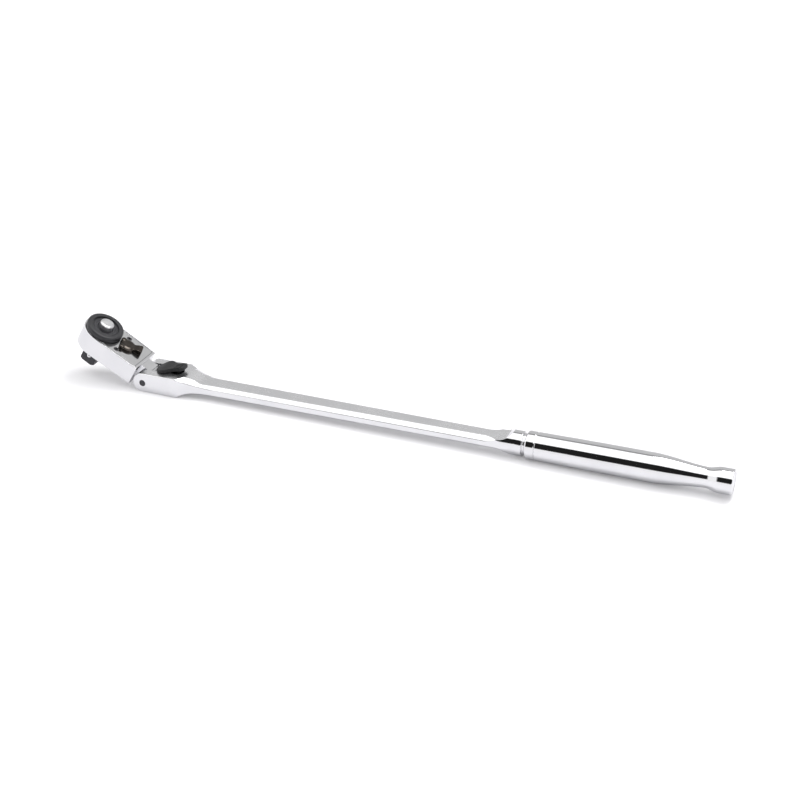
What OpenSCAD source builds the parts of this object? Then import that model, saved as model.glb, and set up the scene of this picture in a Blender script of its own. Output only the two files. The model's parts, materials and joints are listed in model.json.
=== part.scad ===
// Flex-head ratchet wrench with a locking hinge and a 3/8 inch square drive.
// Origin: centre of the clevis block's flat underside. +X runs to the grip's end, +Z up.

/* [Pose] */
// Upward tilt of the head from the handle's line, degrees
head_tilt = 30; // [-90:15:90]
// Swing of the reversing lever from its middle, degrees
lever_swing = 20; // [-20:20]

/* [Handle] */
// Length from the hinge axis to the end of the grip
handle_len = 353; // [320:1:420]
// Width across the clevis ears
clevis_w = 22.7; // [22:0.1:25]
// Height of the clevis block above the hinge axis
clevis_top = 6.2; // [6:0.1:6.6]
// Depth of the clevis block below the hinge axis
clevis_bot = 5.75; // [5.5:0.05:6]
// Distance from the hinge axis to the back of the clevis block
block_len = 22.3; // [21.5:0.1:23]
// Width of the flat on top of the shaft
shaft_flat_w = 9.8; // [9:0.1:10.2]
// Width of the shaft across its upright sides
shaft_w = 15; // [14:0.1:16]
// Height of the shaft across its flats
shaft_h = 6.1; // [5.6:0.1:6.6]
// Radius of the round collar ahead of the grip
collar_r = 7.2; // [6.6:0.05:7.4]
// Radius of the grip at its thickest
grip_r = 8.45; // [8:0.05:9]
// Length of the grip with its front edge
grip_len = 114.7; // [100:0.1:130]

/* [Head] */
// Distance from the hinge axis to the drive axis
drive_reach = 39; // [38:0.5:42]
// Radius of the head's round end
head_r = 12.2; // [12:0.1:13]
// Half the width of the head at its hinge end
head_rear_w = 11.5; // [11.2:0.1:11.8]
// Height of the head's top above the hinge axis
head_top = 6.35; // [6.2:0.05:6.5]
// Depth of the head's underside below the hinge axis
head_bot = 6.5; // [6.3:0.05:6.8]
// Gap from the hinge axis to the head's end face
head_gap = 7.3; // [7:0.1:7.6]

/* [Drive] */
// Width of the square drive across its flats
square_w = 9.525; // [9.4:0.005:9.6]
// Length of the square drive below the head
square_len = 11.9; // [11:0.1:12.5]
// Number of teeth on the drive gear
gear_teeth = 60; // [48:4:72]
// Outer radius of the spin ring
ring_r = 11.8; // [11:0.1:12]
// Radius of the release button
button_r = 4.25; // [4:0.05:4.3]

/* [Lock lever] */
// Distance from the hinge axis to the lock lever's pin
lock_pin_x = 14.6; // [14.4:0.1:14.8]
// Widest width of the lock lever
lock_lever_w = 14.8; // [13:0.1:16]

/* [Hidden] */
$fn = 64;
eps = 0.01;
run_gap = 0.05;          // radial clearance of every running fit
pad_x = 14;              // from the hinge axis back to the middle of the block's underside

// Hinge
tongue_r = 5.9;
tongue_w = 9.3;
tongue_neck_h = 5.4;     // half the height of the tongue where it joins the head
slot_x = 6.1;            // back wall of the slot between the ears
slot_w = 10.4;
hinge_pin_r = 2.0;
hinge_pin_recess = 0.45;
notch_step = 15;
notch_r = 0.6;

// Lock
pocket_w = 9.3;          // pocket that holds the lock pawl and the lever's stem
pocket_bot = -3.4;
pocket_end = 17.4;
tail_slot_w = 8.2;
tail_slot_end = 24.6;
tail_slot_floor = 1.0;
lock_pin_r = 1.1;
lock_pin_z = -0.8;
pawl_front = 6.5;
lever_base = 6.6;        // underside of the lock lever, just above the block
lever_tail_x = 19.5;     // centre of the lock lever's round tail
lever_tail_r = 3.7;
stem_w = 8.8;            // width of the lever's stem in the pocket

// Neck and shaft
block_edge = 0.3;        // chamfer along the block's edges where the neck leaves it
block_flat = clevis_w / 2 - block_edge;
neck_end = 45;
neck_flat_x = block_len + 3.7;   // where the top flat has narrowed to the shaft's width
neck_top_end = 38;
neck_bot_end = 33;
section_inset = 0.04;    // how far the shaft's ends sit inside the block and the round bar they meet
runout_x = handle_len - 131;     // where the shaft's flats begin to rise into the round bar
runout_r = 10.9;
side_h = 1.5;            // half the height of the shaft's upright sides
narrow_x = handle_len - 150;     // where the shaft begins to narrow to the round bar
narrow_end = handle_len - 139;
bar_corner = [5.75, 6.3, 1.75];  // flat half-width, side half-width and side height inside the round bar
collar_end = handle_len - 116.8;
grip_start = handle_len - grip_len;
waist_r = 5.75;          // grip radius at its waist
lip_r = 7.2;             // radius of the flared lip at the grip's end
lip_round = 1.5;

// Head
gear_cavity_r = 9.3;
cavity_floor = -5.0;
cover_t = 1.8;
cover_r = 11.0;
cover_rear_x = 9.2;
cover_rear_w = 10.4;
cover_bot = head_top - cover_t;
journal_r = 7.4;
lower_journal_r = 7.5;
screw_x = 24.8;
screw_y = 7.65;
screw_head_r = 1.6;
screw_r = 1.0;
lever_x = 21.5;
lever_shaft_r = 4.0;
lever_hub_r = 5.0;
lever_floor = -4.6;
lever_stub_r = 2.5;
lever_stub_z = -5.7;

// Gear, pawls and plungers
gear_r = 9.1;
tooth_h = 0.5;
gear_bot = -4.9;
gear_top = 4.4;
journal_top = 9.0;
ring_h = 3.7;            // from the cover to the spin ring's top
pawl_r1 = 9.2;
pawl_r2 = 12.2;
pawl_half = 30;
pawl_shift = 5;
pawl_pocket_r = 12.4;
plunger_r = 1.0;
plunger_tip = 5.2;
plunger_len = 3.0;
upper_pawl_z = [0.1, 4.3];
lower_pawl_z = [-4.85, 0.0];

// Quick release
rod_r = 2.4;
rod_neck_r = 1.5;
ball_r = 1.6;
ball_z = -13.0;
ball_y = -(square_w / 2 - 0.7);
spring_bore_r = 3.4;
spring_bore_z = 0;
button_seat = 5.5;
button_base = 7.6;
button_top = 12.5;

chrome = "silver";
black_oxide = [0.16, 0.16, 0.17];

// ---- frames -------------------------------------------------------------------------------

// Children are drawn from the hinge axis, with X along the handle.
module at_hinge() translate([-pad_x, 0, clevis_bot]) children();

// Children are drawn from the hinge axis in the tilted head's own frame.
module in_head() at_hinge() rotate([0, head_tilt, 0]) children();

// Children are drawn from the drive axis.
module at_drive() in_head() translate([-drive_reach, 0, 0]) children();

// Children are drawn from the reversing lever's axis and swing with it.
module at_lever() in_head() translate([-lever_x, 0, 0]) rotate([0, 0, lever_swing]) children();

// ---- helpers ------------------------------------------------------------------------------

function smooth(t) = let (c = min(1, max(0, t))) c * c * (3 - 2 * c);
function fade(t, power) = pow(1 - min(1, max(0, t)), power);
function mid(span) = (span[0] + span[1]) / 2;
function arc(r, a1, a2, n = 16) = [for (i = [0:n]) let (a = a1 + (a2 - a1) * i / n) [r * cos(a), r * sin(a)]];

// Cylinder along Y, centred on y = 0, at x, z
module cross_cylinder(x, z, r, w) translate([x, w / 2, z]) rotate([90, 0, 0]) cylinder(r = r, h = w);

// Box from x1 to x2 and z1 to z2, centred on y = 0
module slab(x1, x2, w, z1, z2) translate([x1, -w / 2, z1]) cube([x2 - x1, w, z2 - z1]);

// Flat plate: a plan outline between two heights
module plate(z1, z2) translate([0, 0, z1]) linear_extrude(z2 - z1) children();

// Coil spring along Z from 0 to h
module coil(r, wire_r, turns, h, steps = 16, sides = 6) {
    n = turns * steps;
    rise = h - 2 * wire_r;
    points = [
        for (i = [0:n], k = [0:sides - 1])
            let (a = 360 * i / steps, b = 360 * k / sides, ring = r + wire_r * cos(b))
            [ring * cos(a), ring * sin(a), wire_r + rise * i / n + wire_r * sin(b)]
    ];
    walls = [
        for (i = [0:n - 1], k = [0:sides - 1])
            let (a = i * sides, b = a + sides, m = (k + 1) % sides)
            [a + k, a + m, b + m, b + k]
    ];
    caps = [[for (k = [sides - 1:-1:0]) k], [for (k = [0:sides - 1]) n * sides + k]];
    polyhedron(points, concat(walls, caps), convexity = 10);
}

module seal_ring(r, section_r) rotate_extrude() translate([r, 0]) circle(r = section_r);

// ---- handle -------------------------------------------------------------------------------

// Share of the way from the block (1) to the shaft (0) at x, and from the shaft (0) to the round bar (1)
function from_block(x) = fade((x - block_len) / (neck_end - block_len), 2);
function to_bar(x) = smooth((x - narrow_x) / (narrow_end - narrow_x));
function blend(a, b, t) = a + (b - a) * t;

// Half-widths and heights of the shaft's eight-sided section at x
function flat_w(x) = blend(shaft_flat_w / 2, bar_corner[0], to_bar(x));
function top_w(x) =
    flat_w(x) + (block_flat - shaft_flat_w / 2) * fade((x - block_len) / (neck_flat_x - block_len), 1);
function top_z(x) = blend(clevis_top, shaft_h / 2, smooth((x - neck_flat_x) / (neck_top_end - neck_flat_x)));
function side_w(x) = blend(blend(shaft_w / 2, clevis_w / 2, from_block(x)), bar_corner[1], to_bar(x));
function side_top(x) =
    blend(blend(side_h, clevis_top - block_edge, from_block(x)), bar_corner[2], to_bar(x));
function bottom_w(x) = blend(flat_w(x), block_flat, from_block(x));
function bottom_z(x) =
    blend(-shaft_h / 2, -clevis_bot, fade((x - block_len) / (neck_bot_end - block_len), 2));
function side_bottom(x) =
    bottom_z(x) + blend(shaft_h / 2 - blend(side_h, bar_corner[2], to_bar(x)), block_edge, from_block(x));

function shaft_section(x) =
    let (
        inset = section_inset,
        half = [
            [top_w(x) - inset, top_z(x) - inset],
            [side_w(x) - inset, side_top(x) - inset],
            [side_w(x) - inset, side_bottom(x) + inset],
            [bottom_w(x) - inset, bottom_z(x) + inset]
        ]
    )
    concat([for (p = half) [x, p[0], p[1]]], [for (i = [3:-1:0]) [x, -half[i][0], half[i][1]]]);

function steps_between(a, b, n) = [for (i = [0:n - 1]) a + (b - a) * i / n];

// Neck and shaft in one skin, from the clevis block to the round bar
module shaft() {
    corners = 8;
    stations = concat(
        steps_between(block_len, neck_flat_x, 3),
        steps_between(neck_flat_x, neck_end, 14),
        steps_between(neck_end, narrow_x, 1),
        steps_between(narrow_x, narrow_end, 6),
        [narrow_end]
    );
    last = len(stations) - 1;
    points = [for (x = stations, p = shaft_section(x)) p];
    walls = [
        for (i = [0:last - 1], k = [0:corners - 1])
            let (a = i * corners, b = a + corners, m = (k + 1) % corners)
            each [[a + k, a + m, b + m], [a + k, b + m, b + k]]
    ];
    caps = [[for (k = [corners - 1:-1:0]) k], [for (k = [0:corners - 1]) last * corners + k]];
    polyhedron(points, concat(walls, caps));
}

// Round bar whose two flats rise in an arc and run out ahead of the collar
module round_bar() {
    flat = shaft_h / 2;
    rise = collar_r + 1 - flat;
    turn = acos(1 - rise / runout_r);
    curve = [for (p = arc(runout_r, -90, -90 + turn)) [runout_x + p[0], flat + runout_r + p[1]]];
    half = concat([[narrow_end, flat]], curve, [[collar_end, collar_r + 1]]);
    mirrored = [for (i = [len(half) - 1:-1:0]) [half[i][0], -half[i][1]]];
    intersection() {
        translate([narrow_end, 0, 0]) rotate([0, 90, 0])
            cylinder(r = collar_r, h = collar_end - narrow_end);
        rotate([90, 0, 0]) linear_extrude(4 * collar_r, center = true) polygon(concat(half, mirrored));
    }
}

// Grip radius at x: a slight belly, a waist near the end and a flared tip
function grip_radius(x) =
    let (
        front = 8.15 + (grip_r - 8.15) * smooth((x - grip_start) / 46),
        waist = (grip_r - waist_r) * smooth((x - handle_len + 45) / 32),
        flare = (lip_r - waist_r) * smooth((x - handle_len + 14.5) / 7.5)
    )
    front - waist + flare;

module grip() {
    edge = 0.6;
    groove_x = grip_start + 5.5;
    groove_mid = (collar_end + grip_start) / 2;
    groove_r = (grip_start - collar_end) / 2;
    hollow = [for (p = arc(groove_r, 180, 360, 8)) [groove_mid + p[0], collar_r - 0.2 + p[1] * 0.7]];
    belly = [for (x = [groove_x + 0.5:3:handle_len - 2.5]) [x, grip_radius(x)]];
    profile = concat(
        [[collar_end, 0]],
        hollow,
        [[grip_start, 7.7], [grip_start + edge, 8.15]],
        [[groove_x - 0.5, 8.15], [groove_x - 0.25, 7.85], [groove_x + 0.25, 7.85]],
        belly,
        [for (p = arc(lip_round, 90, 0, 6)) [handle_len - lip_round + p[0], lip_r - lip_round + p[1]]],
        [[handle_len, 0]]
    );
    rotate([0, 90, 0]) rotate_extrude() polygon([for (p = profile) [p[1], p[0]]]);
}

module clevis_block() {
    intersection() {
        union() {
            cross_cylinder(0, 0, clevis_top, clevis_w);
            slab(0, block_len, clevis_w, -clevis_bot, clevis_top);
        }
        slab(-10, block_len + 1, clevis_w, -clevis_bot, clevis_top);
    }
}

module handle() color(chrome) at_hinge() difference() {
    union() {
        clevis_block();
        shaft();
        round_bar();
        grip();
    }
    slab(-10, slot_x, slot_w, -10, 10);
    slab(slot_x - 1, pocket_end, pocket_w, pocket_bot, 10);
    slab(pocket_end - 1, tail_slot_end - tail_slot_w / 2, tail_slot_w, tail_slot_floor, 10);
    translate([tail_slot_end - tail_slot_w / 2, 0, tail_slot_floor])
        cylinder(r = tail_slot_w / 2, h = 10);
    cross_cylinder(0, 0, hinge_pin_r + 0.02, clevis_w + 2);
    translate([lock_pin_x, clevis_w / 2 + 1, lock_pin_z]) rotate([90, 0, 0])
        cylinder(r = lock_pin_r + 0.02, h = clevis_w / 2 + 9.5);
}

module hinge_pin() color(black_oxide) at_hinge()
    cross_cylinder(0, 0, hinge_pin_r, clevis_w - 2 * hinge_pin_recess);

module hinge_washers() color("darkgray") at_hinge() {
    washer_t = 0.35;
    middle = (tongue_w + slot_w) / 4;
    for (side = [-1, 1]) translate([0, side * middle, 0]) difference() {
        cross_cylinder(0, 0, 4.5, washer_t);
        cross_cylinder(0, 0, hinge_pin_r + run_gap, 1);
    }
}

// ---- hinge lock ---------------------------------------------------------------------------

// Half of the lock lever's plan outline, front to back
function lever_half() = [
    [7.0, 3.4], [7.8, 4.3], [9.0, 5.6], [10.4, lock_lever_w / 2], [12.4, 5.6], [14.2, 4.3], [16.2, 3.7]
];

module lever_plan() {
    half = lever_half();
    tail = [for (p = arc(lever_tail_r, 90, -90)) [lever_tail_x + p[0], p[1]]];
    mirrored = [for (i = [len(half) - 1:-1:0]) [half[i][0], -half[i][1]]];
    polygon(concat(half, tail, mirrored));
}

// Lever from the side: low at the front, level over the stem, raised at the tail
function lever_side() = [
    [6.5, lever_base], [6.5, 6.9], [9.2, 8.2], [15.5, 8.4], [21, 10], [24, 9.6], [24, lever_base]
];

module lock_lever() color(black_oxide) at_hinge() difference() {
    tail_bottom = 5.2;
    root = lever_base + 0.1;
    union() {
        intersection() {
            plate(lever_base, 12) lever_plan();
            rotate([90, 0, 0]) linear_extrude(lock_lever_w + 1, center = true) polygon(lever_side());
        }
        intersection() {
            plate(tail_bottom, root) lever_plan();
            slab(15, 24, 2 * lever_tail_r, tail_bottom, root);
        }
        slab(lock_pin_x - 2, lock_pin_x + 1.6, stem_w, lock_pin_z, root);
        cross_cylinder(lock_pin_x, lock_pin_z, 2.3, stem_w);
        slab(8.3, 9.75, 5.6, 3.0, root);
    }
    cross_cylinder(lock_pin_x, lock_pin_z, lock_pin_r + run_gap, 12);
}

module lock_lever_pin() color("silver") at_hinge()
    translate([lock_pin_x, clevis_w / 2 - 0.2, lock_pin_z]) rotate([90, 0, 0])
        cylinder(r = lock_pin_r, h = clevis_w / 2 + 8.3);

module lock_pawl() color("gainsboro") at_hinge() {
    width = pocket_w - 0.3;
    cross_cylinder(pawl_front, 0, 0.5, width);
    slab(pawl_front, 11.1, width, pocket_bot + 0.1, 2.6);
    slab(pawl_front, 7.9, width, 2.5, 5.6);
    slab(9.9, 11.1, width, 2.5, 4.8);
}

module lock_spring() color("silver") at_hinge()
    translate([20, 0, tail_slot_floor + 0.05]) coil(1.9, 0.25, 4, 4.1);

// ---- head ---------------------------------------------------------------------------------

// Plan outline: a round end at the drive axis that runs back to x = -rear_x
module head_plan(r, rear_x, rear_w) {
    translate([-drive_reach, 0]) circle(r = r);
    polygon([[-drive_reach, r], [-drive_reach, -r], [-rear_x, -rear_w], [-rear_x, rear_w]]);
}

module pawl_pocket() translate([-drive_reach, 0])
    polygon(concat([[0, 0]], arc(pawl_pocket_r, -42, 42, 28)));

module head_body() color(chrome) in_head() difference() {
    union() {
        plate(-head_bot, head_top) head_plan(head_r, head_gap, head_rear_w);
        slab(-head_gap - 1, 0, tongue_w, -tongue_neck_h, tongue_neck_h);
        cross_cylinder(0, 0, tongue_r, tongue_w);
    }
    plate(cover_bot, head_top + 1) head_plan(cover_r + 0.06, cover_rear_x - 0.06, cover_rear_w + 0.06);
    translate([-drive_reach, 0, cavity_floor]) cylinder(r = gear_cavity_r, h = 20);
    translate([-drive_reach, 0, -head_bot - 1]) cylinder(r = lower_journal_r + run_gap, h = 20);
    plate(cavity_floor, head_top) pawl_pocket();
    translate([-lever_x, 0, lever_floor]) cylinder(r = 5.6, h = 20);
    translate([-lever_x, 0, -5.8]) cylinder(r = lever_stub_r + run_gap, h = 5);
    for (side = [-1, 1]) translate([-screw_x, side * screw_y, -2])
        cylinder(r = screw_r + 0.02, h = 20);
    cross_cylinder(0, 0, hinge_pin_r + run_gap, 20);
    for (a = [-90:notch_step:90]) rotate([0, a, 0]) cross_cylinder(tongue_r + 0.1, 0, notch_r, 20);
}

module cover_plate() color(chrome) in_head() difference() {
    plate(cover_bot, head_top) head_plan(cover_r, cover_rear_x, cover_rear_w);
    translate([-drive_reach, 0, 0]) cylinder(r = journal_r + run_gap, h = 20);
    translate([-lever_x, 0, 0]) cylinder(r = lever_shaft_r + run_gap, h = 20);
    for (side = [-1, 1]) translate([-screw_x, side * screw_y, 0]) {
        cylinder(r = screw_r + run_gap, h = 20);
        translate([0, 0, cover_bot + 0.6]) cylinder(r = screw_head_r + run_gap, h = 20);
    }
}

module cover_screws() color(black_oxide) in_head()
    for (side = [-1, 1]) translate([-screw_x, side * screw_y, 0]) difference() {
        union() {
            translate([0, 0, -1.9]) cylinder(r = screw_r, h = cover_bot + 3);
            translate([0, 0, cover_bot + 0.62]) cylinder(r = screw_head_r, h = cover_t - 0.55);
        }
        translate([0, 0, head_top - 0.8]) cylinder(r = 0.8, h = 2, $fn = 6);
    }

// ---- drive --------------------------------------------------------------------------------

module drive_gear() color(black_oxide) at_drive() {
    pitch = 360 / gear_teeth;
    outline = [
        for (i = [0:gear_teeth - 1])
            each [
                [gear_r * cos(i * pitch), gear_r * sin(i * pitch)],
                [(gear_r - tooth_h) * cos((i + 0.5) * pitch), (gear_r - tooth_h) * sin((i + 0.5) * pitch)]
            ]
    ];
    difference() {
        union() {
            plate(gear_bot, gear_top) polygon(outline);
            translate([0, 0, gear_top - 1]) cylinder(r = journal_r, h = journal_top - gear_top + 1);
            translate([0, 0, -head_bot]) cylinder(r = lower_journal_r, h = head_bot + gear_bot + 1);
            square_tang();
        }
        translate([0, 0, -head_bot - square_len - 1]) cylinder(r = rod_r + run_gap, h = 40);
        translate([0, 0, spring_bore_z]) cylinder(r = spring_bore_r, h = 20);
        translate([0, 0, button_seat]) cylinder(r = button_r + run_gap, h = 20);
        ball_hole();
        seal_groove(lower_journal_r, 6.62, -5.75, 0.9);
    }
}

// Square tang with its end chamfered by a cone
module square_tang() {
    low = -head_bot - square_len;
    tip_r = square_w / 2 + 0.6;
    intersection() {
        slab(-square_w / 2, square_w / 2, square_w, low, -head_bot + 0.5);
        union() {
            translate([0, 0, low]) cylinder(r1 = tip_r, r2 = tip_r + 1.5, h = 1.5);
            translate([0, 0, low + 1.5 - eps]) cylinder(r = square_w, h = square_len);
        }
    }
}

module ball_hole() {
    face = square_w / 2;
    translate([0, 0, ball_z]) rotate([90, 0, 0]) {
        cylinder(r = ball_r + run_gap, h = face - 0.46);
        translate([0, 0, face - 0.46 - eps]) cylinder(r1 = ball_r + 0.04, r2 = ball_r - 0.1, h = 0.48);
    }
}

// Groove of width w, centred on z, cut from radius r down to the floor radius
module seal_groove(r, floor_r, z, w) translate([0, 0, z - w / 2]) difference() {
    cylinder(r = r + 1, h = w);
    translate([0, 0, -1]) cylinder(r = floor_r, h = w + 2);
}

module gear_seal() color([0.08, 0.08, 0.08]) at_drive() translate([0, 0, -5.75]) seal_ring(7.05, 0.4);

module spin_ring() color([0.2, 0.2, 0.21]) at_drive() {
    low = head_top + 0.15;
    high = head_top + ring_h;
    round_r = 1.1;
    rotate_extrude() polygon(concat(
        [[journal_r + 0.02, low], [ring_r - 0.5, low], [ring_r, low + 0.5]],
        [for (p = arc(round_r, 0, 90, 8)) [ring_r - round_r + p[0], high - round_r + p[1]]],
        [[journal_r + 0.8, high], [journal_r + 0.7, high - 1.3], [journal_r + 0.02, high - 1.3]]
    ));
}

// Button and its cam rod, turned from one bar
module release_button() color("lightgray") at_drive() {
    rod_bottom = ball_z - 2.6;
    cam_low = ball_z - 0.4;
    cam_high = ball_z + 1.4;
    rotate_extrude() polygon(concat(
        [[0, rod_bottom], [rod_r - 0.3, rod_bottom], [rod_r, rod_bottom + 0.3], [rod_r, cam_low]],
        [[rod_neck_r, cam_high], [rod_neck_r, button_base], [button_r, button_base]],
        [[button_r, button_top - 0.7], [button_r - 0.5, button_top - 0.1], [button_r - 1.1, button_top]],
        [[0, button_top]]
    ));
}

module release_spring() color("silver") at_drive()
    translate([0, 0, spring_bore_z + 0.05]) coil(2.6, 0.3, 6, button_base - spring_bore_z - 0.1);

module detent_ball() color("white") at_drive() translate([0, ball_y, ball_z]) sphere(r = ball_r);

// ---- reversing gear -----------------------------------------------------------------------

// Half of the reversing lever's tail outline, from the hub to the end
function tail_half() = [[0, 3.6], [3.4, 2.7], [5.2, 2.75], [8.2, 3.25], [9.0, 2.7]];

module lever_tail_plan() {
    half = tail_half();
    mirrored = [for (i = [len(half) - 1:-1:0]) [half[i][0], -half[i][1]]];
    polygon(concat(half, mirrored));
}

module reversing_lever() color([0.3, 0.26, 0.24]) at_lever() difference() {
    low = head_top + 0.15;
    hub_top = head_top + 2.1;
    tail_top = head_top + 3.1;
    union() {
        plate(low, hub_top) circle(r = lever_hub_r);
        plate(low, hub_top) lever_tail_plan();
        intersection() {
            plate(head_top + 1, tail_top) lever_tail_plan();
            rotate([90, 0, 0]) linear_extrude(20, center = true) polygon([
                [2.6, head_top + 1], [6.2, tail_top], [9.2, tail_top - 0.1], [9.2, head_top + 1]
            ]);
        }
        translate([0, 0, lever_floor + 0.1]) cylinder(r = lever_shaft_r, h = head_top - lever_floor + 1);
        translate([0, 0, lever_stub_z]) cylinder(r = lever_stub_r, h = 2);
    }
    seal_groove(lever_shaft_r, 3.08, 5.3, 1.0);
    for (z = [mid(upper_pawl_z), mid(lower_pawl_z)]) translate([2.2, 0, z]) rotate([0, -90, 0])
        cylinder(r = plunger_r + run_gap, h = 10);
}

module lever_seal() color([0.08, 0.08, 0.08]) at_lever() translate([0, 0, 5.3]) seal_ring(3.55, 0.45);

// Pawl: a toothed arc that sits around the gear, drawn lifted just clear of the gear's teeth
module pawl(span, phase) {
    step = 360 / gear_teeth / 2;
    count = 2 * floor(pawl_half / step / 2);
    teeth = [
        for (i = [-count:count])
            let (a = i * step, r = pawl_r1 + ((i % 2 == 0) ? tooth_h : 0))
            [r * cos(a), r * sin(a)]
    ];
    rotate([0, 0, phase - pawl_shift * sign(lever_swing)]) plate(span[0], span[1])
        polygon(concat(teeth, arc(pawl_r2, count * step, -count * step, 24)));
}

module upper_pawl() color("gray") at_drive() pawl(upper_pawl_z, 0);

module lower_pawl() color("gray") at_drive() pawl(lower_pawl_z, 180 / gear_teeth / 2);

module plunger(z) at_lever() translate([0, 0, z]) rotate([0, -90, 0]) {
    translate([0, 0, plunger_tip - plunger_len]) cylinder(r = plunger_r, h = plunger_len - plunger_r);
    translate([0, 0, plunger_tip - plunger_r]) sphere(r = plunger_r);
}

module plunger_spring(z) at_lever() translate([2.1, 0, z]) rotate([0, -90, 0])
    coil(0.7, 0.18, 7, plunger_tip - plunger_len + 2.05, 12, 5);

module upper_plunger() color("gainsboro") plunger(mid(upper_pawl_z));
module lower_plunger() color("gainsboro") plunger(mid(lower_pawl_z));
module upper_plunger_spring() color("silver") plunger_spring(mid(upper_pawl_z));
module lower_plunger_spring() color("silver") plunger_spring(mid(lower_pawl_z));

// ---- nodes --------------------------------------------------------------------------------

handle();
hinge_pin();
hinge_washers();
lock_lever();
lock_lever_pin();
lock_pawl();
lock_spring();
head_body();
cover_plate();
cover_screws();
drive_gear();
gear_seal();
spin_ring();
release_button();
release_spring();
detent_ball();
reversing_lever();
lever_seal();
upper_pawl();
lower_pawl();
upper_plunger();
lower_plunger();
upper_plunger_spring();
lower_plunger_spring();
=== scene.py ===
"""Studio picture of a flex-head ratchet wrench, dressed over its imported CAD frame.

Meshes are built in millimetres in the local frame of the part they belong to, then placed in the CAD frame.
"""

import json
import math

import bmesh
import bpy
from mathutils import Matrix, Vector


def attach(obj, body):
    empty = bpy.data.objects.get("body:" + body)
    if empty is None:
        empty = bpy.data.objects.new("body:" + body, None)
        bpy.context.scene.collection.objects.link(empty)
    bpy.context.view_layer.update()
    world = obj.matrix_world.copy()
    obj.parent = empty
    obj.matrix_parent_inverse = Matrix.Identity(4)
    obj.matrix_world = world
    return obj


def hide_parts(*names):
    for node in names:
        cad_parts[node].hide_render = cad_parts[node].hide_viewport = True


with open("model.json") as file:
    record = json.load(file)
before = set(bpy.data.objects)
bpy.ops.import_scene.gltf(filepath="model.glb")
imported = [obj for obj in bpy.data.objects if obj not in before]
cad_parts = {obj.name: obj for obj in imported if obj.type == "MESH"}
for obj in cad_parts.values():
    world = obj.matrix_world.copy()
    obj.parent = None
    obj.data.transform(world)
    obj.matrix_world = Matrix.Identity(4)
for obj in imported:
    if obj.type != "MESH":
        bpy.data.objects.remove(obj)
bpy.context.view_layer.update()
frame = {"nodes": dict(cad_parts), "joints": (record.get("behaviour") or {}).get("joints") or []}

MM = 0.001
NO_LIMIT = 1e6

# ---- local frames ---------------------------------------------------------------------------


def joint(name):
    """The record's joint of that name."""
    return next(j for j in frame["joints"] if j["name"] == name)


def placed(position, x_axis, z_axis):
    """Placement matrix from an origin and two axes, in metres."""
    z = Vector(z_axis).normalized()
    x = Vector(x_axis).normalized()
    y = z.cross(x)
    turn = Matrix((x, y, z)).transposed().to_4x4()
    return Matrix.Translation(Vector(position)) @ turn


def head_frame(joint_name):
    """Frame at a joint whose axis is the head's upward axis."""
    up = Vector(joint(joint_name)["axis"])
    along = Vector((0, 1, 0)).cross(up)
    return placed(joint(joint_name)["pos_m"], along, up)


HINGE = Matrix.Translation(Vector(joint("head_tilt")["pos_m"]))
DRIVE = head_frame("drive_spin")
HEAD = Matrix.Translation(HINGE.translation) @ DRIVE.to_3x3().to_4x4()
LEVER_SWING = 20             # from the lever's middle to the stop it rests on, degrees
LEVER = head_frame("reverse") @ Matrix.Rotation(math.radians(LEVER_SWING), 4, "Z")


def local_box(node, place):
    """Lowest and highest corner of a CAD node, in millimetres, seen from a local frame."""
    back = place.inverted()
    points = [back @ v.co / MM for v in frame["nodes"][node].data.vertices]
    low = Vector([min(p[k] for p in points) for k in range(3)])
    high = Vector([max(p[k] for p in points) for k in range(3)])
    return low, high


# ---- sizes taken from the CAD, in millimetres -----------------------------------------------

handle_low, handle_high = local_box("handle", HINGE)
EAR_R = -handle_low.x
CLEVIS_HALF = handle_high.y
CLEVIS_BOTTOM = HINGE.translation.z / MM
HANDLE_END = handle_high.x

head_low, head_high = local_box("head_body", HEAD)
HEAD_R = head_high.y
REACH = -head_low.x - HEAD_R
HEAD_TOP = head_high.z
HEAD_BOTTOM = head_low.z
TONGUE_R = head_high.x

cover_low, cover_high = local_box("cover_plate", HEAD)
COVER_R = cover_high.y
COVER_BOTTOM = cover_low.z
COVER_REAR = cover_high.x

drive_low, drive_high = local_box("drive_gear", DRIVE)
ring_low, ring_high = local_box("spin_ring", DRIVE)
button_low, button_high = local_box("release_button", DRIVE)
ball_low, ball_high = local_box("detent_ball", DRIVE)
REVERSER_X = (HEAD.inverted() @ LEVER.translation).x / MM

# ---- sizes shared by pieces that fit together, in millimetres -------------------------------

RUN_GAP = 0.05               # radial clearance of a running fit
THROUGH = 20                 # longer than any hole that goes right through
HINGE_BORE_R = 2.05
TONGUE_WIDTH = 9.3
LEVER_PIN_X = 14.6           # the lock lever's pin, from the hinge axis
LEVER_PIN_Z = -0.8
JOURNAL_R = 7.4
LOWER_JOURNAL_R = 7.5
LEVER_SHAFT_R = 4.0          # of the reversing lever

# ---- mesh helpers, in millimetres -----------------------------------------------------------


def bezier(a, corner, b, t):
    """Point at t on the curve from a to b that bends towards a corner."""
    return a * (1 - t) ** 2 + corner * 2 * t * (1 - t) + b * t ** 2


def smooth(t):
    """Ease from 0 to 1."""
    t = min(1, max(0, t))
    return t * t * (3 - 2 * t)


def rounded(corners, closed=False, steps=4):
    """Path through (x, y, trim) corners, each replaced by a curve that starts trim away from it."""
    path = []
    count = len(corners)
    for i, (x, y, trim) in enumerate(corners):
        here = Vector((x, y))
        at_end = not closed and i in (0, count - 1)
        if trim == 0 or at_end:
            path.append(here)
            continue
        before = Vector(corners[i - 1][:2]) - here
        after = Vector(corners[(i + 1) % count][:2]) - here
        a = here + before.normalized() * min(trim, before.length * 0.48)
        b = here + after.normalized() * min(trim, after.length * 0.48)
        path += [bezier(a, here, b, s / steps) for s in range(steps + 1)]
    return path


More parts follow.
